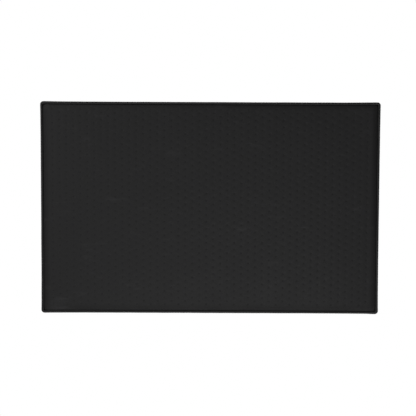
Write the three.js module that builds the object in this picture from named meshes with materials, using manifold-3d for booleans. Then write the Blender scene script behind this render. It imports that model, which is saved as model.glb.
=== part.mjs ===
// Wall punch pad: a board and two layers of foam inside a piped vinyl cover, hung on a two-part wall rail.
// Millimetres. +Z is up, +X runs along the pad, and the struck face looks towards -Y. The wall is the
// plane y = 0, and the origin is the centre of the wall rail's back face.
import * as THREE from 'three';
import { mergeVertices } from 'three/addons/utils/BufferGeometryUtils.js';
import Module from 'manifold-3d';

// Driving dimensions
const WIDTH = 484;               // over the piping
const HEIGHT = 303;              // over the piping
const CORNER = 5;                // outer corner radius of the piping
const TOP = 85;                  // top edge, above the rail's screw line
const GAP = 0.3;                 // between layers that touch

const RAIL_LENGTH = 360;
const RAIL_SHEET = 2.4;          // aluminium thickness
const RAIL_STEP = 3.1;           // how far the lip stands off the flange's plane
const RAIL_FLANGE = 22;          // height of the screwed flange
const RAIL_WEB = 4.4;            // height of the slanted web
const RAIL_LIP = 11.6;           // height of the hooked lip
const RAIL_HOLE = 5.5;
const RAIL_HOLES_X = [-150, -60, 60, 150];

const COVER_SHEET = 0.5;         // non-woven cover on the back
const VINYL = 1.2;
const BOARD = 12;
const CORE_FOAM = 32;
const IMPACT_FOAM = 10;

const BAND_INSET = 1;            // the piping stands this far proud of the band
const TURN_IN = 30;              // width of vinyl turned over the board's back
const COVER_INSET = 12;
const FACE_ROUND = 4;            // radius of the face's rounded edge
const FACE_SKIRT = 11;           // depth of the face panel's edge, its seam allowance included

const WELT_RADIUS = 2;
const WELT_WALL = 0.5;
const WELT_SETBACK = 2.7;        // the roll's centre, behind the face's plane
const WELT_TONGUE = 8;
const CORD_RADIUS = 1.2;
const WELT_JOIN = 1;             // gap where the piping's two ends meet under the pad

const SCREW_LENGTH = 12;
const SCREW_RADIUS = 2.4;
const SCREW_HEAD_RADIUS = 4.7;
const SCREW_HEAD = 2.6;
const NUT_BARREL_RADIUS = 3.3;
const NUT_BORE_RADIUS = 2.6;
const NUT_FLANGE_RADIUS = 7.5;
const NUT_FLANGE = 1.2;
const NUT_LENGTH = 9.5;

const BUMPER_RADIUS = 11;
const BUMPER_X = 190;
const BUMPER_UP = 32;            // above the pad's lower edge
const BUMPER_SCREW_RADIUS = 2;
const BUMPER_SCREW_LENGTH = 13;
const BUMPER_RECESS = 3.2;       // sinks the screw's head below the rubber
const PILOT_DEPTH = 11;
const SLACK = 0.2;               // radial clearance of a drilled hole

const VENT_SPACING = 140;        // between the two vents of one side
const VENT_BORE_RADIUS = 2.3;
const VENT_BARREL_RADIUS = 2.8;
const VENT_FLANGE_RADIUS = 5;
const WASHER = 0.5;

const FINE = 4;                  // arc steps of the outline's corners
const ROUND = 16;                // sides of small round pieces

// Depths worked out from the layers, going away from the wall
const railDepth = RAIL_SHEET + RAIL_STEP + GAP;
const coverBack = -railDepth - GAP;
const turnBack = coverBack - COVER_SHEET - GAP;
const boardBack = turnBack - VINYL - GAP;
const boardFront = boardBack - BOARD;
const coreBack = boardFront - GAP;
const coreFront = coreBack - CORE_FOAM;
const impactBack = coreFront - GAP;
const impactFront = impactBack - IMPACT_FOAM;
const faceFront = impactFront - GAP - VINYL;
const weltY = faceFront + WELT_SETBACK;
const bandFront = weltY + WELT_RADIUS + GAP;
const middleZ = TOP - HEIGHT / 2;
const bandInside = BAND_INSET + VINYL;
const boardInset = bandInside + GAP;
const faceInset = 2 * WELT_RADIUS + GAP;
const railScrewZ = RAIL_FLANGE + 2 * RAIL_WEB + RAIL_LIP;
const bumperZ = TOP - HEIGHT + BUMPER_UP;
const ventY = (coreBack + coreFront) / 2;

const wasm = await Module();
wasm.setup();

// Booleans: a closed three.js mesh to a solid, and back
function solid(geometry) {
  const bare = geometry.clone();
  bare.deleteAttribute('normal');
  bare.deleteAttribute('uv');
  const merged = mergeVertices(bare, 1e-4);
  return new wasm.Manifold(new wasm.Mesh({
    numProp: 3,
    vertProperties: new Float32Array(merged.attributes.position.array),
    triVerts: new Uint32Array(merged.index.array),
  }));
}

function geometryOf(body) {
  const mesh = body.getMesh();
  const geometry = new THREE.BufferGeometry();
  geometry.setAttribute('position', new THREE.BufferAttribute(mesh.vertProperties, 3));
  geometry.setIndex(new THREE.BufferAttribute(mesh.triVerts, 1));
  geometry.computeVertexNormals();
  return geometry;
}

function cut(base, tools) {
  return geometryOf(tools.reduce((left, tool) => left.subtract(solid(tool)), solid(base)));
}

// The pad's rounded outline, moved in by a distance, drawn in X and Z
function outline(inset) {
  const right = WIDTH / 2 - inset;
  const top = TOP - inset;
  const bottom = TOP - HEIGHT + inset;
  const radius = Math.max(CORNER - inset, 0.8);
  const shape = new THREE.Shape();
  shape.absarc(right - radius, top - radius, radius, 0, Math.PI / 2);
  shape.absarc(radius - right, top - radius, radius, Math.PI / 2, Math.PI);
  shape.absarc(radius - right, bottom + radius, radius, Math.PI, 1.5 * Math.PI);
  shape.absarc(right - radius, bottom + radius, radius, 1.5 * Math.PI, 2 * Math.PI);
  return shape;
}

// A flat layer with that outline between two depths
function layer(inset, back, front) {
  const geometry = new THREE.ExtrudeGeometry(outline(inset), {
    depth: back - front, bevelEnabled: false, curveSegments: FINE,
  });
  return geometry.rotateX(Math.PI / 2).translate(0, back, 0);
}

// A block with a rounded front edge and a flat back
function pillow(inset, round, back, front) {
  const geometry = new THREE.ExtrudeGeometry(outline(inset + round), {
    depth: back - front, curveSegments: FINE, bevelSize: round, bevelThickness: round, bevelSegments: 3,
  });
  geometry.rotateX(Math.PI / 2).translate(0, back + round, 0);
  return cut(geometry, [layer(-20, back + 3 * round, back)]);
}

// A round piece from its half section of [radius, depth] points, turned about Y
function turned(points) {
  const profile = points.map(([radius, y]) => new THREE.Vector2(radius, y));
  return new THREE.LatheGeometry([...profile, profile[0].clone()], ROUND);
}

// A round cutter along Y
function drill(radius, x, z, back, front) {
  const geometry = new THREE.CylinderGeometry(radius, radius, back - front, ROUND);
  return geometry.translate(x, (back + front) / 2, z);
}

// The line that the piping follows: right round the outline from one end, under the pad, to the other
class PipingLine extends THREE.Curve {
  constructor() {
    super();
    const right = WIDTH / 2 - WELT_RADIUS;
    const top = TOP - WELT_RADIUS;
    const bottom = TOP - HEIGHT + WELT_RADIUS;
    const radius = CORNER - WELT_RADIUS;
    const point = (x, z) => new THREE.Vector3(x, weltY, z);
    const bend = (x, z, turn) => ({
      getPoint: (t) => {
        const angle = (turn + t) * Math.PI / 2;
        return point(x + radius * Math.cos(angle), z + radius * Math.sin(angle));
      },
    });
    const run = (x1, z1, x2, z2) => new THREE.LineCurve3(point(x1, z1), point(x2, z2));
    this.pieces = [
      run(WELT_JOIN / 2, bottom, right - radius, bottom),
      bend(right - radius, bottom + radius, 3),
      run(right, bottom + radius, right, top - radius),
      bend(right - radius, top - radius, 0),
      run(right - radius, top, radius - right, top),
      bend(radius - right, top - radius, 1),
      run(-right, top - radius, -right, bottom + radius),
      bend(radius - right, bottom + radius, 2),
      run(radius - right, bottom, -WELT_JOIN / 2, bottom),
    ];
  }

  getPoint(t) {
    const place = t * this.pieces.length;
    const index = Math.min(Math.floor(place), this.pieces.length - 1);
    return this.pieces[index].getPoint(place - index);
  }

  getUtoTmapping(u) {
    return u;
  }
}

function piped(section) {
  const path = new PipingLine();
  return new THREE.ExtrudeGeometry(section, {
    steps: 4 * path.pieces.length, bevelEnabled: false, extrudePath: path, curveSegments: FINE,
  });
}

// Wall rail and pad rail: the same Z section, one turned end for end over the other
function railSection() {
  const flangeTop = RAIL_FLANGE / 2;
  const lipRoot = flangeTop + RAIL_WEB;
  const lipTop = lipRoot + RAIL_LIP;
  const front = RAIL_SHEET;
  const slope = 1.4;             // keeps the slanted web as thick as the sheet
  const shape = new THREE.Shape();
  shape.moveTo(0, -flangeTop);
  shape.lineTo(0, flangeTop);
  shape.lineTo(RAIL_STEP, lipRoot);
  shape.lineTo(RAIL_STEP, lipTop);
  shape.lineTo(RAIL_STEP + front, lipTop);
  shape.lineTo(RAIL_STEP + front, lipRoot - slope);
  shape.lineTo(front, flangeTop - slope);
  shape.lineTo(front, -flangeTop);
  return shape;
}

function rail() {
  const bar = new THREE.ExtrudeGeometry(railSection(), { depth: RAIL_LENGTH, bevelEnabled: false });
  bar.translate(0, 0, -RAIL_LENGTH / 2).rotateX(Math.PI / 2).rotateZ(-Math.PI / 2);
  const holes = RAIL_HOLES_X.map((x) => drill(RAIL_HOLE / 2, x, 0, 2, -RAIL_SHEET - 2));
  return cut(bar, holes);
}

function railScrew() {
  const tip = -SCREW_LENGTH;
  return turned([
    [0, tip], [SCREW_RADIUS - 0.6, tip], [SCREW_RADIUS, tip + 0.6], [SCREW_RADIUS, 0],
    [SCREW_HEAD_RADIUS, 0], [SCREW_HEAD_RADIUS, 1.2], [4.0, 2.0], [2.6, SCREW_HEAD - 0.1],
    [1.4, SCREW_HEAD], [1.4, 1.0], [0, 1.0],
  ]);
}

function teeNut() {
  return turned([
    [NUT_BORE_RADIUS, 0], [NUT_FLANGE_RADIUS, 0], [NUT_FLANGE_RADIUS, NUT_FLANGE],
    [NUT_BARREL_RADIUS, NUT_FLANGE], [NUT_BARREL_RADIUS, NUT_LENGTH], [NUT_BORE_RADIUS, NUT_LENGTH],
  ]);
}

function board() {
  const nutHoles = RAIL_HOLES_X.flatMap((x) => [
    drill(NUT_BARREL_RADIUS + GAP, x, railScrewZ, boardBack + 1, boardFront - 1),
    drill(NUT_FLANGE_RADIUS + GAP, x, railScrewZ, boardFront + NUT_FLANGE + 2 * GAP, boardFront - 1),
  ]);
  const pilots = [-BUMPER_X, BUMPER_X].map((x) => (
    drill(BUMPER_SCREW_RADIUS + SLACK, x, bumperZ, boardBack + 1, boardBack - PILOT_DEPTH)
  ));
  return cut(layer(boardInset, boardBack, boardFront), [...nutHoles, ...pilots]);
}

function backCover() {
  const back = coverBack + 1;
  const front = coverBack - COVER_SHEET - 1;
  const pilotRadius = BUMPER_SCREW_RADIUS + 3 * SLACK;
  const holes = RAIL_HOLES_X.map((x) => drill(RAIL_HOLE / 2 + 2 * SLACK, x, railScrewZ, back, front));
  const pilots = [-BUMPER_X, BUMPER_X].map((x) => drill(pilotRadius, x, bumperZ, back, front));
  return cut(layer(COVER_INSET, coverBack, coverBack - COVER_SHEET), [...holes, ...pilots]);
}

function bumper() {
  const depth = railDepth;
  return turned([
    [2.5, -depth], [BUMPER_RADIUS, -depth], [BUMPER_RADIUS, -1.2], [BUMPER_RADIUS - 1.2, 0],
    [4.9, 0], [4.9, -BUMPER_RECESS], [2.5, -BUMPER_RECESS],
  ]);
}

function bumperScrew() {
  const tip = -BUMPER_SCREW_LENGTH;
  return turned([
    [0, tip], [BUMPER_SCREW_RADIUS, tip + 3], [BUMPER_SCREW_RADIUS, 0], [4.2, 0], [4.2, 1.0],
    [3.4, 1.9], [2.0, 2.4], [1.2, 2.4], [1.2, 1.0], [0, 1.0],
  ]);
}

// Vents: a flanged eyelet through the band, turned over a washer on the inside
function ventPlaces() {
  const outside = WIDTH / 2 - BAND_INSET;
  return [['left', -1], ['right', 1]].flatMap(([name, side]) => [['top', 1], ['bottom', -1]].map(
    ([end, up]) => ({ name: `${name}_${end}`, side, x: side * outside, z: middleZ + up * VENT_SPACING / 2 }),
  ));
}

function ventCutter(radius, deep, place) {
  const geometry = new THREE.CylinderGeometry(radius, radius, 2 * deep, ROUND);
  return geometry.rotateZ(Math.PI / 2).translate(place.x, ventY, place.z);
}

function eyelet() {
  const inside = -VINYL - GAP - WASHER;
  return turned([
    [VENT_BORE_RADIUS, inside - 0.4], [VENT_BARREL_RADIUS, inside - 0.4], [VENT_BARREL_RADIUS, 0.1],
    [VENT_FLANGE_RADIUS, 0.1], [VENT_FLANGE_RADIUS - 0.4, 0.6], [3.6, 0.9], [VENT_BORE_RADIUS + 0.3, 0.7],
    [VENT_BORE_RADIUS, 0.2],
  ]);
}

function washer() {
  const outside = -VINYL - 0.15;
  return turned([
    [VENT_BARREL_RADIUS + SLACK, outside - WASHER], [VENT_FLANGE_RADIUS + SLACK, outside - WASHER],
    [VENT_FLANGE_RADIUS + SLACK, outside], [VENT_BARREL_RADIUS + SLACK, outside],
  ]);
}

function band() {
  return cut(layer(BAND_INSET, turnBack, bandFront), [
    layer(bandInside, turnBack - VINYL, bandFront - 1),
    layer(TURN_IN, turnBack + 1, bandFront - 1),
    ...ventPlaces().map((place) => ventCutter(VENT_BARREL_RADIUS + SLACK, 3, place)),
  ]);
}

function coreFoam() {
  const pockets = ventPlaces().map((place) => ventCutter(VENT_FLANGE_RADIUS + 1.5, 3, place));
  return cut(layer(boardInset, coreBack, coreFront), pockets);
}

function facePanel() {
  const back = faceFront + FACE_SKIRT;
  return cut(pillow(faceInset, FACE_ROUND, back, faceFront), [
    pillow(faceInset + VINYL, FACE_ROUND - VINYL, back + 1, faceFront + VINYL),
  ]);
}

function weltStrip() {
  const inner = 1.9;             // the tongue leaves the roll on its inner side
  const outer = 0.9;
  const section = new THREE.Shape();
  section.moveTo(-inner, WELT_TONGUE);
  section.lineTo(-outer, WELT_TONGUE);
  const from = Math.PI - Math.acos(outer / WELT_RADIUS);
  const to = Math.PI - Math.acos(inner / WELT_RADIUS);
  section.absarc(0, 0, WELT_RADIUS, from, to, true);
  const hole = new THREE.Path();
  hole.absarc(0, 0, WELT_RADIUS - WELT_WALL, 0, 2 * Math.PI);
  section.holes.push(hole);
  return piped(section);
}

function weltCord() {
  const section = new THREE.Shape();
  section.absarc(0, 0, CORD_RADIUS, 0, 2 * Math.PI);
  return piped(section);
}

// Finishes
const finish = (color, roughness, metalness) => ({ color, roughness, metalness });
const FACE_VINYL = finish(0x28292a, 0.62, 0);
const BAND_VINYL = finish(0x242526, 0.55, 0);
const PIPING = finish(0x1f2021, 0.45, 0);
const CORD = finish(0xd8d6cf, 0.6, 0);
const REBOND = finish(0x6d7a86, 0.95, 0);
const EVA = finish(0x3a3c40, 0.9, 0);
const PLYWOOD = finish(0xc9a878, 0.75, 0);
const NONWOVEN = finish(0x1b1b1c, 0.95, 0);
const ALUMINIUM = finish(0xb9bcc0, 0.38, 1);
const ZINC = finish(0xb4b6b8, 0.35, 1);
const NICKEL = finish(0xc8c5bd, 0.25, 1);
const RUBBER = finish(0x191919, 0.85, 0);

const pad = new THREE.Group();

function place(group, name, geometry, look, x = 0, y = 0, z = 0) {
  const mesh = new THREE.Mesh(geometry, new THREE.MeshStandardMaterial(look));
  mesh.name = name;
  mesh.position.set(x, y, z);
  group.add(mesh);
  return mesh;
}

place(pad, 'wall_rail', rail(), ALUMINIUM);
const hook = place(pad, 'pad_rail', rail(), ALUMINIUM, 0, -railDepth, railScrewZ);
hook.rotation.x = Math.PI;

RAIL_HOLES_X.forEach((x, index) => {
  const headY = -railDepth + RAIL_SHEET + 0.1;
  place(pad, `rail_screw_${index + 1}`, railScrew(), ZINC, x, headY, railScrewZ);
  place(pad, `t_nut_${index + 1}`, teeNut(), ZINC, x, boardFront + GAP, railScrewZ);
});

place(pad, 'backing_board', board(), PLYWOOD);
place(pad, 'dust_cover', backCover(), NONWOVEN);
[['left', -1], ['right', 1]].forEach(([name, side]) => {
  place(pad, `bumper_${name}`, bumper(), RUBBER, side * BUMPER_X, 0, bumperZ);
  place(pad, `bumper_screw_${name}`, bumperScrew(), ZINC, side * BUMPER_X, 0.1 - BUMPER_RECESS, bumperZ);
});

place(pad, 'core_foam', coreFoam(), REBOND);
place(pad, 'impact_foam', pillow(faceInset + VINYL + GAP, FACE_ROUND - VINYL - GAP, impactBack, impactFront), EVA);
place(pad, 'side_band', band(), BAND_VINYL);
place(pad, 'face_panel', facePanel(), FACE_VINYL);
place(pad, 'welt_strip', weltStrip(), PIPING);
place(pad, 'welt_cord', weltCord(), CORD);

ventPlaces().forEach((vent) => {
  const ring = place(pad, `vent_eyelet_${vent.name}`, eyelet(), NICKEL, vent.x, ventY, vent.z);
  const backing = place(pad, `vent_washer_${vent.name}`, washer(), NICKEL, vent.x, ventY, vent.z);
  ring.rotation.z = -vent.side * Math.PI / 2;
  backing.rotation.z = -vent.side * Math.PI / 2;
});

export default pad;
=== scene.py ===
# Wall punch pad: a board and two layers of foam in a piped vinyl cover, hung on a hooked aluminium rail.
# Metres. +Z is up, +X runs along the pad, the struck face looks along -Y and the wall is the plane y = 0.
import math

import bmesh
import bpy
import numpy as np
from mathutils import Matrix, Vector, noise
from mathutils.bvhtree import BVHTree


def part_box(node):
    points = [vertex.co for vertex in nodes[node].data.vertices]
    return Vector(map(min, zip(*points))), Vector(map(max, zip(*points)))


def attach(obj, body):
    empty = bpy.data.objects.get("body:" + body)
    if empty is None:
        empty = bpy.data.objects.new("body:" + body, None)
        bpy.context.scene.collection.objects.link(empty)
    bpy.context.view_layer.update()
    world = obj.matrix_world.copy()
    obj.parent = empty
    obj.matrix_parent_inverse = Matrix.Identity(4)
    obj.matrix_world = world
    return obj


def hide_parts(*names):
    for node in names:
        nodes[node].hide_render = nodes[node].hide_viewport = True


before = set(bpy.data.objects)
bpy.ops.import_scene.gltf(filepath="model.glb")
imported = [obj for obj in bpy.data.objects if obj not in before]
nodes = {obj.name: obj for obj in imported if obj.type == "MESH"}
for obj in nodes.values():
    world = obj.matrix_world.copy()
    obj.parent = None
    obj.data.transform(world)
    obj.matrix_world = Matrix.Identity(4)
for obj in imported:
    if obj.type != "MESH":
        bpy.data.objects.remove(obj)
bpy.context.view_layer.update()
MM = 0.001


# ---------------------------------------------------------------------------------------------------------
# Camera: eye height a little above the middle of the pad, looking slightly down at the struck face.
outline_low, outline_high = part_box("welt_strip")
face_low, face_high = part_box("face_panel")
middle = (outline_low + outline_high) / 2
view_distance = 1.2
view_width = 0.5928                # how much of the face's plane the camera takes in
view_pitch = math.radians(3.05)    # how far it looks down
view_roll = math.radians(0.22)
aim = Vector((middle.x - 2.9 * MM, face_low.y, middle.z + 0.5 * MM))

camera = bpy.data.objects.new("camera", bpy.data.cameras.new("camera"))
camera.data.sensor_width = 36
camera.data.lens = camera.data.sensor_width * view_distance / view_width
camera.location = aim + view_distance * Vector((0, -math.cos(view_pitch), math.sin(view_pitch)))
tilt = Matrix.Rotation(math.pi / 2 - view_pitch, 3, "X")
camera.rotation_euler = (tilt @ Matrix.Rotation(view_roll, 3, "Z")).to_euler()
bpy.context.collection.objects.link(camera)
bpy.context.scene.camera = camera


# ---------------------------------------------------------------------------------------------------------
# Studio: a plain pale floor well below the pad, a white sweep all round, and five soft lamps: one low in
# front, one high on the left, and three behind that pick out the sides, the top and the rail.
def node(tree, kind, inputs=(), **settings):
    """A new node, with sockets or plain values put into its inputs."""
    made = tree.nodes.new(kind)
    for name, value in settings.items():
        setattr(made, name, value)
    for key, value in dict(inputs).items():
        if isinstance(value, bpy.types.NodeSocket):
            tree.links.new(value, made.inputs[key])
        else:
            made.inputs[key].default_value = value
    return made


def studio_world(seen, lighting):
    """A white surround, as bright as one number to the eye and as another to the pad."""
    world = bpy.data.worlds.new("studio")
    world.use_nodes = True
    tree = world.node_tree
    tree.nodes.clear()
    rays = node(tree, "ShaderNodeLightPath")
    backdrop = node(tree, "ShaderNodeBackground", {"Color": (1, 1, 1, 1), "Strength": seen})
    room = node(tree, "ShaderNodeBackground", {"Color": (0.99, 0.98, 0.99, 1), "Strength": lighting})
    to_camera = rays.outputs["Is Camera Ray"]
    mixed = node(tree, "ShaderNodeMixShader", {0: to_camera, 1: room.outputs[0], 2: backdrop.outputs[0]})
    node(tree, "ShaderNodeOutputWorld", {"Surface": mixed.outputs[0]})
    bpy.context.scene.world = world


def soft_lamp(name, place, watts, wide, high):
    """A rectangle of light that faces the middle of the pad."""
    lamp = bpy.data.lights.new(name, "AREA")
    lamp.shape, lamp.size, lamp.size_y = "RECTANGLE", wide, high
    lamp.energy = watts
    made = bpy.data.objects.new(name, lamp)
    made.location = place
    made.rotation_euler = (middle - Vector(place)).to_track_quat("-Z", "Y").to_euler()
    bpy.context.collection.objects.link(made)


def studio_floor(height, size, glow):
    """A square of matt white paint that gives off a little light of its own."""
    mesh = bpy.data.meshes.new("floor")
    half = size / 2
    corners = ((-half, -half), (half, -half), (half, half), (-half, half))
    mesh.from_pydata([(x, y, height) for x, y in corners], [], [(0, 1, 2, 3)])
    floor = bpy.data.objects.new("floor", mesh)
    bpy.context.collection.objects.link(floor)
    paint = bpy.data.materials.new("floor_paint")
    paint.use_nodes = True
    shader = paint.node_tree.nodes["Principled BSDF"]
    shader.inputs["Base Color"].default_value = (0.8, 0.8, 0.79, 1)
    shader.inputs["Roughness"].default_value = 0.9
    shader.inputs["Emission Color"].default_value = (1, 1, 1, 1)
    shader.inputs["Emission Strength"].default_value = glow
    mesh.materials.append(paint)


studio_world(seen=1.0, lighting=0.18)
studio_floor(height=-1.35, size=6.1, glow=0.48)
soft_lamp("lamp_low_front", (0.07, -0.75, -0.38), watts=0.84, wide=0.3, high=0.2)
soft_lamp("lamp_upper_left", (-0.9, -0.9, 0.6), watts=4.8, wide=0.6, high=0.6)
soft_lamp("lamp_back_top", (0.4, 1.6, 1.2), watts=12, wide=1.2, high=1.2)
for side, sign in (("right", 1), ("left", -1)):
    soft_lamp(f"lamp_back_{side}", (sign * 1.5, 0.7, 0.25), watts=9, wide=0.8, high=0.8)
bpy.context.scene.view_settings.view_transform = "Standard"


# ---------------------------------------------------------------------------------------------------------
# Wall rail and pad rail: mill-finish aluminium extrusions, 2.4 mm thick, with the die's fine lines running
# along them, drilled and deburred. The pad rail is the same bar turned end for end, hooked over the other.
def mesh_object(name, points, faces, material=None, smooth=True):
    """A new object from points and faces, with its faces pointing out."""
    mesh = bpy.data.meshes.new(name)
    mesh.from_pydata([tuple(point) for point in points], [], [tuple(face) for face in faces])
    mesh.validate()
    shape = bmesh.new()
    shape.from_mesh(mesh)
    bmesh.ops.recalc_face_normals(shape, faces=shape.faces)
    shape.to_mesh(mesh)
    shape.free()
    mesh.polygons.foreach_set("use_smooth", [smooth] * len(mesh.polygons))
    made = bpy.data.objects.new(name, mesh)
    bpy.context.collection.objects.link(made)
    if material:
        mesh.materials.append(material)
    return made


def settle(made):
    """Bakes the modifiers into a plain mesh."""
    bpy.context.view_layer.update()
    baked = bpy.data.meshes.new_from_object(made.evaluated_get(bpy.context.evaluated_depsgraph_get()))
    made.modifiers.clear()
    made.data = baked
    return made


def surface(name):
    """A new material, and the parts of it that every finish starts from."""
    made = bpy.data.materials.new(name)
    made.use_nodes = True
    tree = made.node_tree
    shader = tree.nodes["Principled BSDF"]
    place = node(tree, "ShaderNodeTexCoord").outputs["Object"]
    return made, tree, shader, place


def stretched(tree, place, scale):
    """Places scaled by axis, so that a pattern on them is finer along one than another."""
    return node(tree, "ShaderNodeMapping", {"Vector": place, "Scale": scale}).outputs[0]


def cloud(tree, place, scale, detail=3.0, rough=0.55):
    """Soft noise from 0 to 1, with that many cells to a metre."""
    grain = {"Vector": place, "Scale": scale, "Detail": detail, "Roughness": rough}
    return node(tree, "ShaderNodeTexNoise", grain).outputs["Fac"]


def ramp(tree, value, low, high, start=0.0, end=1.0):
    """Runs from low to high as the value goes from start to end, and stays there."""
    ends = {"Value": value, "From Min": start, "From Max": end, "To Min": low, "To Max": high}
    return node(tree, "ShaderNodeMapRange", ends).outputs[0]


def blended(tree, share, first, second):
    """A colour between two others."""
    made = node(tree, "ShaderNodeMix", data_type="RGBA")
    for socket, value in ((made.inputs[0], share), (made.inputs[6], first), (made.inputs[7], second)):
        if isinstance(value, bpy.types.NodeSocket):
            tree.links.new(value, socket)
        else:
            socket.default_value = value
    return made.outputs[2]


def sums(tree, operation, first, second=0.0, third=0.0):
    """One step of arithmetic on values."""
    return node(tree, "ShaderNodeMath", {0: first, 1: second, 2: third}, operation=operation).outputs[0]


def dressed(tree, shader, colour, rough, relief, depth, strength=0.6):
    """Gives a shader its colour, its roughness, and a relief of that depth."""
    tree.links.new(colour, shader.inputs["Base Color"])
    if isinstance(rough, bpy.types.NodeSocket):
        tree.links.new(rough, shader.inputs["Roughness"])
    else:
        shader.inputs["Roughness"].default_value = rough
    bump = node(tree, "ShaderNodeBump", {"Height": relief, "Distance": depth, "Strength": strength})
    tree.links.new(bump.outputs[0], shader.inputs["Normal"])


def aluminium():
    made, tree, shader, place = surface("mill_aluminium")
    lines = cloud(tree, stretched(tree, place, (2, 900, 900)), 1.0, 4)
    smears = cloud(tree, stretched(tree, place, (6, 60, 60)), 1.0, 3)
    tint = blended(tree, smears, (0.58, 0.59, 0.61, 1), (0.70, 0.71, 0.72, 1))
    tint = blended(tree, ramp(tree, lines, 0, 0.3), tint, (0.45, 0.46, 0.48, 1))
    rough = ramp(tree, sums(tree, "ADD", lines, smears), 0.26, 0.5, 0.6, 1.4)
    shader.inputs["Metallic"].default_value = 1.0
    shader.inputs["Anisotropic"].default_value = 0.5
    dressed(tree, shader, tint, rough, lines, 0.02 * MM, 0.5)
    return made


def rounded_path(corners, radius, steps=5):
    """Points along a bent line, with each inner corner turned to an arc."""
    points = [np.array(corners[0], float)]
    for before, corner, after in zip(corners, corners[1:], corners[2:]):
        corner = np.array(corner, float)
        back, ahead = np.array(before) - corner, np.array(after) - corner
        back, ahead = back / np.linalg.norm(back), ahead / np.linalg.norm(ahead)
        half = math.acos(np.clip(back @ ahead, -1, 1)) / 2
        reach = radius / math.tan(half)
        centre = corner + (back + ahead) / np.linalg.norm(back + ahead) * radius / math.sin(half)
        start, end = corner + back * reach - centre, corner + ahead * reach - centre
        for share in np.linspace(0, 1, steps):
            arm = start * (1 - share) + end * share
            points.append(centre + arm / np.linalg.norm(arm) * radius)
    points.append(np.array(corners[-1], float))
    return np.array(points)


def rail_bar(name, low, high, material):
    """The Z section, drawn in Y and Z from its box, run along X and drilled."""
    sheet, flange, web, bend = 2.4 * MM, 22 * MM, 4.4 * MM, 2.2 * MM
    hole_radius = 2.75 * MM
    on_wall, off_wall = -sheet / 2, low.y + sheet / 2
    line = rounded_path([(on_wall, low.z), (on_wall, low.z + flange), (off_wall, low.z + flange + web),
                         (off_wall, high.z)], bend)
    along = np.gradient(line, axis=0)
    across = np.stack([-along[:, 1], along[:, 0]], 1) / np.linalg.norm(along, axis=1)[:, None]
    section = np.concatenate([line + across * sheet / 2, (line - across * sheet / 2)[::-1]])
    ends = [np.array([(x, y, z) for y, z in section]) for x in (low.x, high.x)]
    points, faces = lofted(ends, capped=True)
    bar = mesh_object(name, points, faces, material, smooth=False)
    for x in rail_hole_places:
        drill(bar, Vector((x, on_wall, low.z + flange / 2)), hole_radius)
    edges = bar.modifiers.new("deburr", "BEVEL")
    edges.width, edges.segments = 0.25 * MM, 2
    edges.limit_method, edges.angle_limit = "ANGLE", math.radians(40)
    settle(bar)
    return bar


def lofted(rings, closed=False, capped=False):
    """Quads between like rings of points. The last ring may join the first, or both ends may be filled."""
    count, total = len(rings[0]), len(rings)
    around = [(i, (i + 1) % count) for i in range(count)]
    faces = []
    for ring in range(total if closed else total - 1):
        a, b = ring * count, (ring + 1) % total * count
        faces += [(a + i, a + j, b + j, b + i) for i, j in around]
    if capped:
        faces += [tuple(range(count)), tuple(range(count * (total - 1), count * total))[::-1]]
    return np.concatenate(rings), faces


def turned(name, profile, place, axis, material=None, closed=False, sides=40):
    """A piece turned on a lathe, from (radius, height along the axis) pairs."""
    frame_of_axis = Vector(axis).to_track_quat("Z", "Y").to_matrix()
    rings = []
    turns = [2 * math.pi * i / sides for i in range(sides)]
    for radius, height in profile:
        spots = [Vector((radius * math.cos(a), radius * math.sin(a), height)) for a in turns]
        rings.append(np.array([Vector(place) + frame_of_axis @ spot for spot in spots]))
    points, faces = lofted(rings, closed, capped=not closed)
    return mesh_object(name, points, faces, material)


def cut_by(target, tool):
    """Takes one piece's shape out of another, and throws the first away."""
    cut = target.modifiers.new("cut", "BOOLEAN")
    cut.operation, cut.solver, cut.object = "DIFFERENCE", "EXACT", tool
    settle(target)
    bpy.data.objects.remove(tool)


def drill(target, place, radius, axis=(0, 1, 0), reach=5 * MM):
    cut_by(target, turned("drill", [(radius, -reach), (radius, reach)], place, axis))


def in_place_of(cad, piece, body="pad"):
    """Puts a finished piece on its body, where it stands for a CAD node."""
    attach(piece, body)
    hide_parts(cad)


def centre_of(cad):
    low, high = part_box(cad)
    return (low + high) / 2


rail_hole_places = [centre_of(f"rail_screw_{number}").x for number in (1, 2, 3, 4)]
wall_low, wall_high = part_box("wall_rail")
hook_low, hook_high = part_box("pad_rail")
rail_metal = aluminium()
wall_rail = rail_bar("wall_rail_bar", wall_low, wall_high, rail_metal)
pad_rail = rail_bar("pad_rail_bar", wall_low, wall_high, rail_metal)
half_turn = Matrix.Rotation(math.pi, 4, "X")
pad_rail.data.transform(Matrix.Translation((0, hook_low.y, wall_low.z + hook_high.z)) @ half_turn)
in_place_of("wall_rail", wall_rail, body="wall_side")
in_place_of("pad_rail", pad_rail)


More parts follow.
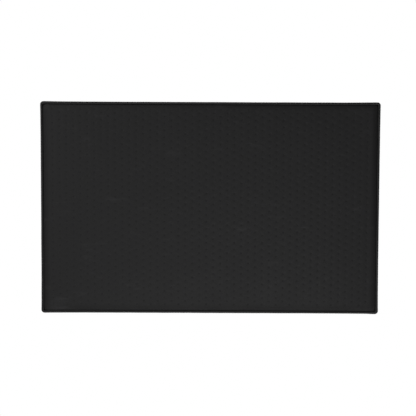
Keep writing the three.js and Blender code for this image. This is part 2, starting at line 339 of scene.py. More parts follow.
# ---------------------------------------------------------------------------------------------------------
# Backing board and T-nuts: 12 mm birch plywood, its layers showing on the edges, with four zinc-plated
# M5 T-nuts driven into its front so that the pad rail can be screwed on from behind.
def plywood():
    made, tree, shader, place = surface("birch_plywood")
    figure = cloud(tree, stretched(tree, place, (7, 40, 90)), 1.0, 5, 0.6)
    pores = cloud(tree, stretched(tree, place, (60, 300, 1100)), 1.0, 3)
    layer = sums(tree, "PINGPONG", node(tree, "ShaderNodeSeparateXYZ", {0: place}).outputs["Y"], 1.7 * MM)
    dark_layer = ramp(tree, layer, 0, 1, 0.75 * MM, 0.95 * MM)
    tint = blended(tree, figure, (0.62, 0.45, 0.26, 1), (0.50, 0.34, 0.18, 1))
    tint = blended(tree, ramp(tree, pores, 0, 0.5, 0.55, 0.75), tint, (0.30, 0.19, 0.09, 1))
    normal = node(tree, "ShaderNodeNewGeometry").outputs["Normal"]
    across = node(tree, "ShaderNodeSeparateXYZ", {0: normal}).outputs["Y"]
    on_edge = sums(tree, "LESS_THAN", sums(tree, "ABSOLUTE", across), 0.5)
    glue_line = sums(tree, "MULTIPLY", sums(tree, "MULTIPLY", dark_layer, on_edge), 0.55)
    tint = blended(tree, glue_line, tint, (0.27, 0.17, 0.09, 1))
    rough = ramp(tree, pores, 0.62, 0.85)
    dressed(tree, shader, tint, rough, sums(tree, "ADD", pores, figure), 0.08 * MM)
    return made


def zinc():
    made, tree, shader, place = surface("zinc_plate")
    bloom = cloud(tree, place, 240, 4)
    pits = cloud(tree, place, 1500, 3)
    tint = blended(tree, bloom, (0.66, 0.67, 0.69, 1), (0.56, 0.55, 0.50, 1))
    shader.inputs["Metallic"].default_value = 1.0
    dressed(tree, shader, tint, ramp(tree, bloom, 0.2, 0.42), pits, 0.02 * MM, 0.4)
    return made


def finish_node(name, material):
    nodes[name].material_slots[0].material = material


zinc_plate = zinc()
finish_node("backing_board", plywood())
for number in (1, 2, 3, 4):
    finish_node(f"t_nut_{number}", zinc_plate)


# ---------------------------------------------------------------------------------------------------------
# The cover's filled shape: the sewn cover is pushed out by the foam between its seams and the board. Air
# pressure on a cloth copy gives that shape, and every piece of the cover is then moved by it.
def rounded_ring(inset, y, corner=5 * MM, side_steps=(60, 40), corner_steps=8):
    """The pad's outline moved in by a distance, from the foot's right corner up the right side."""
    radius = max(corner - inset, 0.8 * MM)
    reach_x, reach_z = half_x - inset - radius, half_z - inset - radius
    corners = ((1, -1), (1, 1), (-1, 1), (-1, -1))
    points = []
    for turn, (sign_x, sign_z) in enumerate(corners):
        next_x, next_z = corners[(turn + 1) % 4]
        steps = side_steps[(turn + 1) % 2]
        for step in range(corner_steps):
            angle = math.pi / 2 * (turn - 1 + step / corner_steps)
            points.append((sign_x * reach_x + radius * math.cos(angle),
                           sign_z * reach_z + radius * math.sin(angle)))
        angle = math.pi / 2 * turn
        lean_x, lean_z = radius * math.cos(angle), radius * math.sin(angle)
        for step in range(steps):
            share = step / steps
            points.append((reach_x * (sign_x * (1 - share) + next_x * share) + lean_x,
                           reach_z * (sign_z * (1 - share) + next_z * share) + lean_z))
    return np.array([(middle.x + x, y, middle.z + z) for x, z in points])


def distances_in(points):
    """How far each point is in from the outline's nearer side, and from its top or foot."""
    return half_x - abs(points[:, 0] - middle.x), half_z - abs(points[:, 2] - middle.z)


def filled_cover():
    """The cover's form before it is filled, as points and faces, and how far each point then moves."""
    front, back = band_low.y, band_high.y
    rings = [rounded_ring(1.6 * MM, y) for y in (back - 1 * MM, front - 2 * MM)]
    points, faces = lofted(rings, capped=True)
    form = mesh_object("cover_form", points, faces)
    evener = form.modifiers.new("even", "REMESH")
    evener.mode, evener.voxel_size = "VOXEL", 5.5 * MM
    settle(form)
    rest = np.array([vertex.co for vertex in form.data.vertices])
    at_seam = (rest[:, 1] < front + 1.5 * MM) & (np.minimum(*distances_in(rest)) < 6.5 * MM)
    held = (rest[:, 1] > board_front + 1 * MM) | at_seam
    group = form.vertex_groups.new(name="sewn")
    group.add([int(i) for i in np.nonzero(held)[0]], 1.0, "REPLACE")
    cloth = form.modifiers.new("vinyl", "CLOTH")
    cloth.settings.vertex_group_mass = "sewn"
    cloth.settings.quality = 5
    cloth.settings.mass = 0.35
    cloth.settings.tension_stiffness = cloth.settings.compression_stiffness = 40
    cloth.settings.bending_stiffness = 4
    cloth.settings.use_pressure = True
    cloth.settings.uniform_pressure_force = 4
    cloth.settings.effector_weights.gravity = 0
    scene = bpy.context.scene
    first, last = 1, 20
    cloth.point_cache.frame_start, cloth.point_cache.frame_end = first, last
    for moment in range(first, last + 1):
        scene.frame_set(moment)
    settled = form.evaluated_get(bpy.context.evaluated_depsgraph_get())
    moved = np.array([vertex.co for vertex in settled.data.vertices]) - rest
    scene.frame_set(first)
    faces = [tuple(polygon.vertices) for polygon in form.data.polygons]
    bpy.data.objects.remove(form)
    return rest, faces, moved


def evened(values, faces, rounds):
    """Averages each point's value with its neighbours', over and over."""
    pairs = np.array([(face[i], face[(i + 1) % len(face)]) for face in faces for i in range(len(face))])
    pairs = np.concatenate([pairs, pairs[:, ::-1]])
    share = np.bincount(pairs[:, 0], minlength=len(values))[:, None]
    for _ in range(rounds):
        total = [np.bincount(pairs[:, 0], values[pairs[:, 1], axis], len(values)) for axis in range(3)]
        values = 0.5 * values + 0.5 * np.stack(total, 1) / share
    return values


def pulled_in(points):
    """The long seams draw the edges in a little between the corners."""
    out = points.copy()
    across, up = (points[:, 0] - middle.x) / half_x, (points[:, 2] - middle.z) / half_z
    from_side, from_end = distances_in(points)
    near_side = np.clip(1 - from_side / seam_pull_reach, 0, 1) ** 2
    near_end = np.clip(1 - from_end / seam_pull_reach, 0, 1) ** 2
    out[:, 0] -= np.sign(across) * near_side * seam_pull * (1 - np.clip(abs(up), 0, 1) ** 5)
    out[:, 2] -= np.sign(up) * near_end * seam_pull * (1 - np.clip(abs(across), 0, 1) ** 7)
    return out


def shaped(points):
    """Moves points of the cover from where they were cut to where the filling and the seams put them."""
    out = points.copy()
    for i, point in enumerate(points):
        found, _, face, _ = form_tree.find_nearest(point)
        corners = form_faces[face]
        weights = np.array([1 / ((found - Vector(form_rest[c])).length + 1e-5) for c in corners])
        out[i] += (weights[:, None] * form_moved[list(corners)]).sum(0) / weights.sum()
    return pulled_in(out)


band_low, band_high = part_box("side_band")
board_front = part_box("backing_board")[0].y
half_x, half_z = (outline_high.x - outline_low.x) / 2, (outline_high.z - outline_low.z) / 2
seam_pull, seam_pull_reach = 0.55 * MM, 45 * MM
face_crown, side_crown = 3.0 * MM, 1.6 * MM          # the most that a point of the cover may move
form_rest, form_faces, form_moved = filled_cover()
form_moved = evened(form_moved, form_faces, 6)
travel = np.linalg.norm(form_moved, axis=1)
limit = np.where(form_rest[:, 1] < band_low.y + 1 * MM, face_crown, side_crown)
form_moved *= (limit * np.tanh(travel / limit) / np.maximum(travel, 1e-9))[:, None]
form_moved = evened(form_moved, form_faces, 4)
form_tree = BVHTree.FromPolygons([tuple(point) for point in form_rest], form_faces)


# ---------------------------------------------------------------------------------------------------------
# Core foam and impact foam: a 32 mm slab of chipped and re-bonded foam glued to the board, and a 10 mm
# sheet of firm EVA glued over it behind the face. Both are knife-cut, so the edges are slightly uneven.
def foam_slab(name, node_name, inset, round_front, material):
    """A slab with its front edge rounded, from the middle of its back round to the middle of its front."""
    low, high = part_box(node_name)
    depth = high.y - low.y
    straight = (0.0, 0.15, 0.4, 0.7, 1 - round_front / depth)
    levels = [(0.0, share) for share in straight] + [(0.3, 1.0), (1.0, 1.0)]
    rings = [rounded_ring(inset + extra * round_front, high.y - share * depth) for extra, share in levels]
    deep = half_z - inset - 8 * MM
    ways_in = (0.15, 0.45, 0.8)
    rings += [rounded_ring(inset + round_front + share * (deep - round_front), low.y) for share in ways_in]
    back = [rounded_ring(inset + share * deep, high.y) for share in ways_in[::-1]]
    points, faces = lofted(back + rings, capped=True)
    wobbles, wobble = 55, 0.22 * MM                  # of the knife: how many to a metre, and how large
    for i, point in enumerate(points):
        points[i] += np.array(noise.noise_vector(Vector(point) * wobbles) * wobble)
    return mesh_object(name, points, faces, material)


def cells_of(tree, place, scale):
    """Round cells side by side: 0 in the middle of each, more towards its wall."""
    return node(tree, "ShaderNodeTexVoronoi", {"Vector": place, "Scale": scale}).outputs["Distance"]


def rebond():
    made, tree, shader, place = surface("rebond_foam")
    chips = node(tree, "ShaderNodeTexVoronoi", {"Vector": place, "Scale": 105.0, "Randomness": 1.0})
    pick = node(tree, "ShaderNodeSeparateColor", {0: chips.outputs["Color"]}).outputs[0]
    colours = node(tree, "ShaderNodeValToRGB", {"Fac": pick})
    stops = colours.color_ramp.elements
    stops[0].color, stops[1].color = (0.10, 0.17, 0.30, 1), (0.62, 0.60, 0.52, 1)
    chip_colours = {0.3: (0.28, 0.36, 0.46, 1), 0.55: (0.16, 0.17, 0.18, 1), 0.75: (0.52, 0.33, 0.34, 1)}
    for at, colour in chip_colours.items():
        stops.new(at).color = colour
    colours.color_ramp.interpolation = "CONSTANT"
    cells = cells_of(tree, place, 1400)
    tint = blended(tree, ramp(tree, cells, 0.35, 0, 0, 0.6), colours.outputs[0], (0.02, 0.02, 0.02, 1))
    shader.inputs["Sheen Weight"].default_value = 0.15
    relief = sums(tree, "MULTIPLY_ADD", cells, 0.4, chips.outputs["Distance"])
    dressed(tree, shader, tint, 0.95, relief, 0.5 * MM, 0.7)
    return made


def eva():
    made, tree, shader, place = surface("eva_foam")
    cells = cells_of(tree, place, 2100)
    skive = cloud(tree, stretched(tree, place, (4, 4, 120)), 1.0, 3)
    tint = blended(tree, cells, (0.035, 0.037, 0.042, 1), (0.065, 0.067, 0.073, 1))
    dressed(tree, shader, tint, ramp(tree, skive, 0.75, 0.95), sums(tree, "ADD", cells, skive), 0.15 * MM)
    return made


slabs = (("core_foam", "core_foam_slab", 0.6 * MM, 1.5 * MM, rebond(), "rebond_foam"),
         ("impact_foam", "impact_foam_sheet", 0.4 * MM, 2.2 * MM, eva(), "impact_foam"))
for cad, name, clearance, round_front, material, finish in slabs:
    slab = foam_slab(name, cad, half_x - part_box(cad)[1].x + clearance, round_front, material)
    in_place_of(cad, slab)


# ---------------------------------------------------------------------------------------------------------
# Face panel: one sheet of 1.2 mm black coated vinyl, embossed all over with round dimples 10 mm apart in
# staggered columns. It is laid over the foam, rounds down at its edges and is sewn in behind the piping.
def tree_group(name, inputs):
    """A new Geometry Nodes tree with named inputs: the tree, the inputs' sockets and their identifiers."""
    tree = bpy.data.node_groups.new(name, "GeometryNodeTree")
    keys = {}
    for title, kind in {"Geometry": "Geometry", **inputs}.items():
        socket = tree.interface.new_socket(title, in_out="INPUT", socket_type="NodeSocket" + kind)
        keys[title] = socket.identifier
    tree.interface.new_socket("Geometry", in_out="OUTPUT", socket_type="NodeSocketGeometry")
    return tree, tree.nodes.new("NodeGroupInput").outputs, keys


def end_tree(tree, geometry, material):
    """Gives the geometry its material and makes it the tree's result."""
    painted = node(tree, "GeometryNodeSetMaterial", {"Geometry": geometry, "Material": material})
    tree.links.new(painted.outputs[0], tree.nodes.new("NodeGroupOutput").inputs[0])


def grown(name, host, tree, keys, values):
    """Runs a Geometry Nodes tree on a host object and keeps the result as a plain mesh."""
    modifier = host.modifiers.new("grow", "NODES")
    modifier.node_group = tree
    for title, value in values.items():
        modifier[keys[title]] = value
    settle(host)
    host.name = host.data.name = name
    return host


def plain_material(made, material):
    """Leaves an object with one material on all its faces."""
    made.data.materials.clear()
    made.data.materials.append(material)
    made.data.polygons.foreach_set("material_index", [0] * len(made.data.polygons))
    return made


def joined_loops(outer, inner):
    """Triangles between two rings of (angle, index), each in order of angle."""
    faces, i, j = [], 0, 0
    while i < len(outer) or j < len(inner):
        a, b = outer[i % len(outer)], inner[j % len(inner)]
        next_a = outer[(i + 1) % len(outer)][0] + (2 * math.pi if i + 1 >= len(outer) else 0)
        next_b = inner[(j + 1) % len(inner)][0] + (2 * math.pi if j + 1 >= len(inner) else 0)
        if i < len(outer) and (j >= len(inner) or next_a <= next_b):
            faces.append((a[1], outer[(i + 1) % len(outer)][1], b[1]))
            i += 1
        else:
            faces.append((a[1], inner[(j + 1) % len(inner)][1], b[1]))
            j += 1
    return faces


def dimple_tile(pitch, radius, depth, sides=12):
    """One square of the sheet with a round dimple in it, and how deep in the dimple each point is."""
    half = pitch / 2
    points = [(half, 0, 0), (half, half, 0), (0, half, 0), (-half, half, 0),
              (-half, 0, 0), (-half, -half, 0), (0, -half, 0), (half, -half, 0)]
    border = [(math.pi / 4 * i, i) for i in range(8)]
    turns = [2 * math.pi * i / sides for i in range(sides)]
    around = [(i, (i + 1) % sides) for i in range(sides)]
    bowl = ((1.0, 0.0), (0.74, 0.42), (0.4, 0.92))          # shares of the dimple's radius and of its depth
    depths, faces, before = [0.0] * 8, [], None
    for share, drop in bowl:
        start = len(points)
        points += [(radius * share * math.cos(a), radius * share * math.sin(a), -drop * depth)
                   for a in turns]
        depths += [drop] * sides
        if before is None:
            faces += joined_loops(border, [(angle, start + i) for i, angle in enumerate(turns)])
        else:
            faces += [(before + i, before + j, start + j, start + i) for i, j in around]
        before = start
    points.append((0, 0, -depth))
    depths.append(1.0)
    faces += [(before + i, before + j, len(points) - 1) for i, j in around]
    tile = mesh_object("dimple_tile", points, faces)
    tile.data.attributes.new("dimple", "FLOAT", "POINT").data.foreach_set("value", depths)
    return tile


def plain_tile(pitch):
    """Half a square with no dimple, for the two ends of a staggered column."""
    half, low = pitch / 2, pitch / 4
    points = [(-half, -low, 0), (0, -low, 0), (half, -low, 0), (half, low, 0), (0, low, 0), (-half, low, 0)]
    return mesh_object("plain_tile", points, [(0, 1, 4, 5), (1, 2, 3, 4)])


def dimpled_field_tree():
    """The upright field of dimples, with every second column moved down by half a pitch."""
    tree, given, keys = tree_group("dimpled_field", {
        "Tile": "Object", "Plain Tile": "Object", "Material": "Material",
        "Pitch": "Float", "Columns": "Int", "Rows": "Int"})
    pitch, columns, rows = given["Pitch"], given["Columns"], given["Rows"]
    joined = tree.nodes.new("GeometryNodeJoinGeometry")

    def every_second_column(tile, row_count, height, side):
        """Tiles in columns two pitches apart, half a pitch to one side of the middle."""
        gaps = sums(tree, "SUBTRACT", columns, 1.0)
        width = sums(tree, "MULTIPLY", gaps, sums(tree, "MULTIPLY", pitch, 2.0))
        grid = node(tree, "GeometryNodeMeshGrid", {
            "Size X": width, "Size Y": height, "Vertices X": columns, "Vertices Y": row_count})
        shift = node(tree, "ShaderNodeCombineXYZ", {"X": sums(tree, "MULTIPLY", pitch, side * 0.5)})
        moved = node(tree, "GeometryNodeTransform", {
            "Geometry": grid.outputs["Mesh"], "Translation": shift.outputs[0]})
        piece = node(tree, "GeometryNodeObjectInfo", {"Object": tile, "As Instance": True})
        copies = node(tree, "GeometryNodeInstanceOnPoints", {
            "Points": moved.outputs[0], "Instance": piece.outputs["Geometry"]})
        tree.links.new(copies.outputs[0], joined.inputs[0])

    fewer = sums(tree, "SUBTRACT", rows, 1.0)
    straight_height = sums(tree, "MULTIPLY", fewer, pitch)
    staggered_height = sums(tree, "MULTIPLY", sums(tree, "SUBTRACT", rows, 2.0), pitch)
    ends_height = sums(tree, "MULTIPLY", sums(tree, "SUBTRACT", rows, 0.5), pitch)
    every_second_column(given["Tile"], rows, straight_height, -1)
    every_second_column(given["Tile"], fewer, staggered_height, 1)
    every_second_column(given["Plain Tile"], 2, ends_height, 1)
    real = node(tree, "GeometryNodeRealizeInstances", {"Geometry": joined.outputs[0]})
    welded = node(tree, "GeometryNodeMergeByDistance", {"Geometry": real.outputs[0], "Distance": 0.02 * MM})
    upright = {"Geometry": welded.outputs[0], "Rotation": (math.pi / 2, 0, 0)}
    stood = node(tree, "GeometryNodeTransform", upright)
    end_tree(tree, stood.outputs[0], given["Material"])
    return tree, keys


def vinyl(name, tint, rough, grain_size, grain_depth, scuffs=0.0):
    """Black coated vinyl: leather grain, a soft mottle, dust, scuffs where it is struck, darker dimples,
    and painted shade along the seam.
    """
    made, tree, shader, place = surface(name)
    grain = cells_of(tree, place, 1 / grain_size)
    creases = cloud(tree, place, 0.45 / grain_size, 4, 0.6)
    mottle = cloud(tree, place, 22, 4, 0.6)
    dust = cloud(tree, place, 260, 3, 0.7)
    low = tuple(c * 0.86 for c in tint) + (1,)
    high = tuple(c * 1.12 for c in tint) + (1,)
    base = blended(tree, ramp(tree, mottle, 0, 1, 0.3, 0.7), low, high)
    base = blended(tree, ramp(tree, dust, 0, 0.10, 0.62, 0.8), base, (0.11, 0.11, 0.115, 1))
    dimple = node(tree, "ShaderNodeAttribute", attribute_name="dimple").outputs["Fac"]
    # Dimples are coloured darker, more in some patches than in others.
    patchy_dimple_darkening = ramp(tree, cloud(tree, place, 34, 2), 0.2 * dimple_shade, 1.8 * dimple_shade, 0.35, 0.65)
    base = blended(tree, sums(tree, "MULTIPLY", dimple, patchy_dimple_darkening), base, (0.004, 0.004, 0.004, 1))
    # Painted shade: the margin attribute colours the vinyl darker along the seam, where the face rounds
    # down.
    margin = node(tree, "ShaderNodeAttribute", attribute_name="margin").outputs["Fac"]
    base = blended(tree, margin, base, (0.0015, 0.0015, 0.0017, 1))
    if scuffs:
        streaks = cloud(tree, stretched(tree, place, (26, 26, 90)), 1.0, 5, 0.65)
        base = blended(tree, ramp(tree, streaks, 0, scuffs, 0.6, 0.78), base, (0.07, 0.07, 0.072, 1))
    patches = ramp(tree, mottle, rough - 0.05, rough + 0.05, 0.3, 0.7)
    worn = sums(tree, "MULTIPLY_ADD", grain, 0.12, patches)
    shader.inputs["Specular IOR Level"].default_value = 0.36
    relief = sums(tree, "MULTIPLY_ADD", creases, 0.7, grain)
    dressed(tree, shader, base, sums(tree, "MULTIPLY_ADD", dimple, 0.12, worn), relief, grain_depth)
    return made


def cornered(points, reach_x, reach_z, radius):
    """Rounds off the corners of points that lie on a rectangle of that reach."""
    out = points.copy()
    over_x, over_z = abs(points[:, 0]) - (reach_x - radius), abs(points[:, 1]) - (reach_z - radius)
    far = np.hypot(over_x, over_z)
    bent = (over_x > 0) & (over_z > 0) & (far > 1e-9)
    share = radius / np.maximum(far, 1e-9)
    out[bent, 0] = (np.sign(points[:, 0]) * (reach_x - radius + over_x * share))[bent]
    out[bent, 1] = (np.sign(points[:, 1]) * (reach_z - radius + over_z * share))[bent]
    return out


def edge_drop(points):
    """How far the face has rounded down towards the seam at each point, wider on the short sides."""
    from_side, from_end = (distance - face_inset for distance in distances_in(points))
    fall_side = np.clip(1 - from_side / shoulder_side, 0, 1)
    fall_end = np.clip(1 - from_end / shoulder_end, 0, 1)
    fall = np.clip(np.hypot(fall_side, fall_end), 0, 1)
    return shoulder_drop * fall ** 1.7


def seam_painted_shade(points):
    """How much painted shade darkens the vinyl along the seam, least along the top."""
    from_side = distances_in(points)[0] - face_inset
    from_top = middle.z + half_z - points[:, 2] - face_inset
    from_foot = points[:, 2] - middle.z + half_z - face_inset
    shade = 0.0
    edges = ((from_side, painted_shade_side), (from_top, painted_shade_top), (from_foot, painted_shade_foot))
    for distance, (width, most) in edges:
        shade = np.maximum(shade, most * np.clip(1 - distance / width, 0, 1) ** 0.7)
    return shade


def face_panel_mesh(material):
    """The dimpled sheet, its smooth margin and its turned-down edge, with a plain sheet for its back."""
    tree, keys = dimpled_field_tree()
    tile, plain = dimple_tile(dimple_pitch, dimple_radius, dimple_depth), plain_tile(dimple_pitch)
    host = mesh_object("host", [(0, 0, 0)], [])
    field = grown("face_panel_sheet", host, tree, keys, {
        "Tile": tile, "Plain Tile": plain, "Material": material, "Pitch": dimple_pitch,
        "Columns": dimple_columns, "Rows": dimple_rows})
    for used in (tile, plain):
        bpy.data.objects.remove(used)
    sheet = bmesh.new()
    sheet.from_mesh(field.data)
    reach_x, reach_z = dimple_columns * dimple_pitch, dimple_rows * dimple_pitch / 2

    def turn_of(vert):
        return math.atan2(vert.co.z / reach_z, vert.co.x / reach_x)

    border = sorted((vert for vert in sheet.verts if vert.is_boundary), key=turn_of)
    flat = np.array([(vert.co.x, vert.co.z) for vert in border])
    bmesh.ops.translate(sheet, verts=sheet.verts, vec=(0, 0, dimple_rise))
    loops = [border]

    def add_loop(share, inset, y, radius):
        """A further loop of the sheet, from the field's border to the distance inset from the outline."""
        wide = reach_x + (half_x - inset - reach_x) * share
        high = reach_z + (half_z - inset - reach_z) * share
        spots = cornered(flat * (wide / reach_x, high / reach_z), wide, high, radius)
        verts = [sheet.verts.new((x, y, z + dimple_rise * (1 - share))) for x, z in spots]
        for i in range(len(verts)):
            j = (i + 1) % len(verts)
            sheet.faces.new((loops[-1][i], loops[-1][j], verts[j], verts[i]))
        loops.append(verts)

    margin_loops = ((0.2, 1.0), (0.4, 1.5), (0.58, 2.0), (0.74, 2.4), (0.86, 2.7), (0.95, 2.9), (1.0, 3.0))
    for share, radius in margin_loops:
        add_loop(share, face_inset, 0, radius * MM)
    skirt = face_high.y - face_low.y
    edge_loops = ((0, 5.0 * MM), (0, skirt), (face_sheet, skirt), (face_sheet, 5.5 * MM),
                  (face_sheet * 1.6, 2.4 * MM))
    for inset, y in edge_loops:
        add_loop(1.0, face_inset + inset, y, 2.6 * MM)
    add_loop(0.5, face_inset + face_sheet, 1.4 * MM, 1.5 * MM)
    add_loop(0.0, face_inset, face_sheet, 0.1 * MM)
    across, up = dimple_columns * 4, dimple_rows * 2
    columns = np.linspace(-reach_x, reach_x, across + 1)
    rows = np.linspace(-reach_z, reach_z, up + 1)
    inner = [[sheet.verts.new((x, face_sheet, z + dimple_rise)) for z in rows] for x in columns]
    for i in range(across):
        for j in range(up):
            sheet.faces.new((inner[i][j], inner[i + 1][j], inner[i + 1][j + 1], inner[i][j + 1]))
    meeting = loops[-1] + [vert for column in inner for vert in column]
    bmesh.ops.remove_doubles(sheet, verts=meeting, dist=0.05 * MM)
    bmesh.ops.recalc_face_normals(sheet, faces=sheet.faces)
    for face in sheet.faces:
        face.smooth = True
    sheet.to_mesh(field.data)
    sheet.free()
    points = np.array([vert.co for vert in field.data.vertices])
    points += np.array((middle.x, face_low.y, middle.z))
    # The margin attribute holds the painted shade along the seam, which darkens the vinyl's colour.
    margin = field.data.attributes.new("margin", "FLOAT", "POINT")
    margin.data.foreach_set("value", seam_painted_shade(points))
    skirted = points[:, 1] - face_low.y > 4 * MM
    points[:, 1] += np.where(skirted, 0, edge_drop(points))
    field.data.vertices.foreach_set("co", shaped(points).ravel())
    field.data.update()
    return plain_material(field, material)


face_inset = half_x - (face_high.x - face_low.x) / 2
face_sheet = 1.2 * MM
shoulder_side, shoulder_end, shoulder_drop = 9.0 * MM, 5.5 * MM, 1.5 * MM
# Width and darkness of the painted seam shade on the sides, the top and the foot.
painted_shade_side, painted_shade_top, painted_shade_foot = (8 * MM, 0.95), (4 * MM, 0.35), (8 * MM, 0.85)   # width and darkness
dimple_pitch, dimple_radius, dimple_depth = 9.95 * MM, 1.8 * MM, 0.23 * MM
dimple_columns, dimple_rows = 23, 29          # pairs of a straight and a staggered column
dimple_rise = 1.4 * MM                        # how far above the middle of the pad the pattern is centred
dimple_shade = 0.10                           # how much darker a dimple is than the field
face_vinyl = vinyl("face_vinyl", tint=(0.0131, 0.0130, 0.0134), rough=0.60, grain_size=0.9 * MM,
                   grain_depth=0.05 * MM, scuffs=0.18)
face_panel = face_panel_mesh(face_vinyl)
in_place_of("face_panel", face_panel)


# ---------------------------------------------------------------------------------------------------------
# Piping: a strip of the same vinyl folded round a solid cord and sewn between the face and the side band.
# It stands up as a thin roll all round, drawn in by each stitch, its end lapped over at the foot's corner.
def seam_ring(inset, y):
    """The pad's outline with points close enough together to show each stitch."""
    return rounded_ring(inset, y, side_steps=seam_steps, corner_steps=seam_corner_steps)


def as_cut(points):
    return points


def outward_from(inset, y, form=as_cut):
    """The direction away from the pad at each point of a seam ring, before or after the cover is filled."""
    outward = form(seam_ring(inset, y)) - form(seam_ring(inset + 1 * MM, y))
    return outward / np.linalg.norm(outward, axis=1)[:, None]


def stitch_wave(count, depth):
    """A scallop for each stitch: nothing between stitches, and drawn in where the thread pulls."""
    turns = np.arange(count) / count * stitch_count * 2 * math.pi
    return depth * (0.5 + 0.5 * np.cos(turns)) ** 1.6


def wander(points, size, amount, seed):
    """A slow, smooth unevenness, the same each time, for handmade seams."""
    shift = Vector((seed, 0, 0))
    return np.array([noise.noise(Vector(point) / size + shift) * amount for point in points])


def piping_mesh(material):
    """The roll as an arc of rings round the cord, and its two legs that are sewn into the seam."""
    cord_line, outward = seam_ring(welt_radius, welt_y), outward_from(welt_radius, welt_y)
    backward = np.array((0, 1, 0))
    count = len(cord_line)
    pinch = stitch_wave(count, depth=0.16 * MM)
    swell = wander(cord_line, size=18 * MM, amount=0.08 * MM, seed=3.1)
    from_lap = np.minimum(np.arange(count), count - np.arange(count))
    lap = lap_height * np.exp(-(from_lap / lap_points) ** 4)
    rings = []
    for turn in np.linspace(*roll_arc, 19):
        tuck = 0.5 + 0.5 * math.sin(turn)
        radius = welt_radius + swell + lap * (0.4 + 0.6 * (1 - tuck)) - pinch * (0.35 + 0.65 * tuck)
        arm = outward * math.cos(turn) + backward * math.sin(turn)
        rings.append(cord_line + arm * radius[:, None])
    tongue = [(-1.05, 3.2), (-1.05, 7.6), (-1.8, 7.6), (-1.8, 3.0)]          # millimetres out and back
    legs = [cord_line + (outward * out + backward * back) * MM for out, back in tongue]
    points, faces = lofted(rings + legs, closed=True)
    return mesh_object("piping_roll", pulled_in(points), faces, material)


welt_radius, welt_y = 2.0 * MM, face_low.y + 3.2 * MM
roll_arc = (-1.14 * math.pi, 0.67 * math.pi)                 # how much of the roll stands clear of the seam
lap_height, lap_points = 0.35 * MM, 7                        # of the roll's lapped end, and its half length
stitch_count = 404
seam_steps, seam_corner_steps = (372, 232), 6                # points along the long and short sides
# The piping's tint is lighter than the face's, though it is the same vinyl: painted light that brightens
# the roll.
piping_vinyl = vinyl("piping_vinyl", tint=(0.0155, 0.0154, 0.0157), rough=0.50, grain_size=0.7 * MM,
                     grain_depth=0.03 * MM)
piping = piping_mesh(piping_vinyl)
in_place_of("welt_strip", piping)


def cord_plastic():
    made, tree, shader, place = surface("welt_cord_plastic")
    streaks = cloud(tree, place, 180, 3)
    tint = blended(tree, streaks, (0.70, 0.69, 0.64, 1), (0.60, 0.58, 0.52, 1))
    dressed(tree, shader, tint, ramp(tree, streaks, 0.4, 0.6), streaks, 0.03 * MM, 0.5)
    return made


finish_node("welt_cord", cord_plastic())


# ---------------------------------------------------------------------------------------------------------
# Side band: one strip of 1.2 mm vinyl round the four sides, joined under the middle of the foot. It bellies
# out over the foam, lies flat over the board, and is pulled round its back edge, where the corners pleat.
def band_mesh(material):
    """The strip's section as insets and depths: down the outside, in over the back, and back up inside."""
    back, front = band_high.y, band_low.y
    inset, sheet, bend = half_x - band_high.x, 1.2 * MM, 2.2 * MM
    section = [(0.15 * MM, front + 0.2 * MM), (0.0, front + 1.5 * MM)]
    section += [(0.0, y) for y in np.linspace(front + 4 * MM, back - 2.6 * MM, 13)]
    turns = np.linspace(0, math.pi / 2, 6)[1:]
    section += [(bend - bend * math.cos(a), back - bend + bend * math.sin(a)) for a in turns]
    turned_in = len(section)
    section += [(x * MM, back) for x in (6, 11, 17, 23, 28.6)]
    outer = len(section)
    section += [(x * MM, back - sheet) for x in (28.9, 17, 3.4)]
    section += [(sheet, back - 3.4 * MM), (sheet, (back + front) / 2), (sheet, front + 0.2 * MM)]
    rings = [seam_ring(inset + x, y) for x, y in section]
    outward = outward_from(inset, back)
    pinch = stitch_wave(len(outward), depth=0.22 * MM)
    for i, (x, y) in enumerate(section):
        ring, depth = rings[i], y - front
        out = -pinch * math.exp(-max(depth, 0) / (3.2 * MM))
        if i < outer:
            ripple = wander(ring * np.array((1, 0.25, 1)), size=12 * MM, amount=0.35 * MM, seed=11.7)
            out += ripple * math.sin(math.pi * np.clip(depth / (back - front), 0, 1))
        if i < turned_in:
            at_foot = ring[:, 2] < middle.z
            out += lap_rise(ring[:, 0] - middle.x) * at_foot * np.clip(depth / (4 * MM), 0, 1)
        ring += outward * out[:, None]
        if turned_in <= i < outer:
            ring[:, 1] += turned_pleats(ring, x)
    points, faces = lofted(rings, closed=True)
    return mesh_object("side_band_strip", shaped(points), faces, material)


def lap_rise(across):
    """The step where the band's outer end stops, and the slope on the other side over its inner end."""
    height, edge_place, edge_width = 1.0 * MM, 7.5 * MM, 0.6 * MM
    slope_start, slope_width = -26 * MM, 17 * MM
    edge = 0.5 - 0.5 * np.tanh((across - edge_place) / edge_width)
    slope = np.clip((across - slope_start) / slope_width, 0, 1)
    return height * edge * slope * slope * (3 - 2 * slope)


def turned_pleats(ring, inset):
    """The vinyl turned over the back: folds gathered at the corners, and slight waves between staples."""
    rise = 0.12 * MM * np.cos((ring[:, 0] + ring[:, 2]) / (25 * MM) * 2 * math.pi)
    across, up = (distance - inset for distance in distances_in(ring))
    near_edge = np.minimum(across, up) < 12 * MM
    folds = ((0.0, 0.9, 2.2), (6.0, 0.55, 1.8), (-6.5, 0.5, 2.0))         # place, height and width
    for offset, height, width in folds:
        fold = np.exp(-((across - up - offset * MM) / (width * MM)) ** 2)
        rise += height * MM * fold * near_edge
    return np.clip(rise, -0.2 * MM, 0.9 * MM) * 0.55


band_vinyl = vinyl("band_vinyl", tint=(0.0134, 0.0133, 0.0136), rough=0.55, grain_size=1.1 * MM,
                   grain_depth=0.06 * MM, scuffs=0.12)
side_band = band_mesh(band_vinyl)
in_place_of("side_band", side_band)


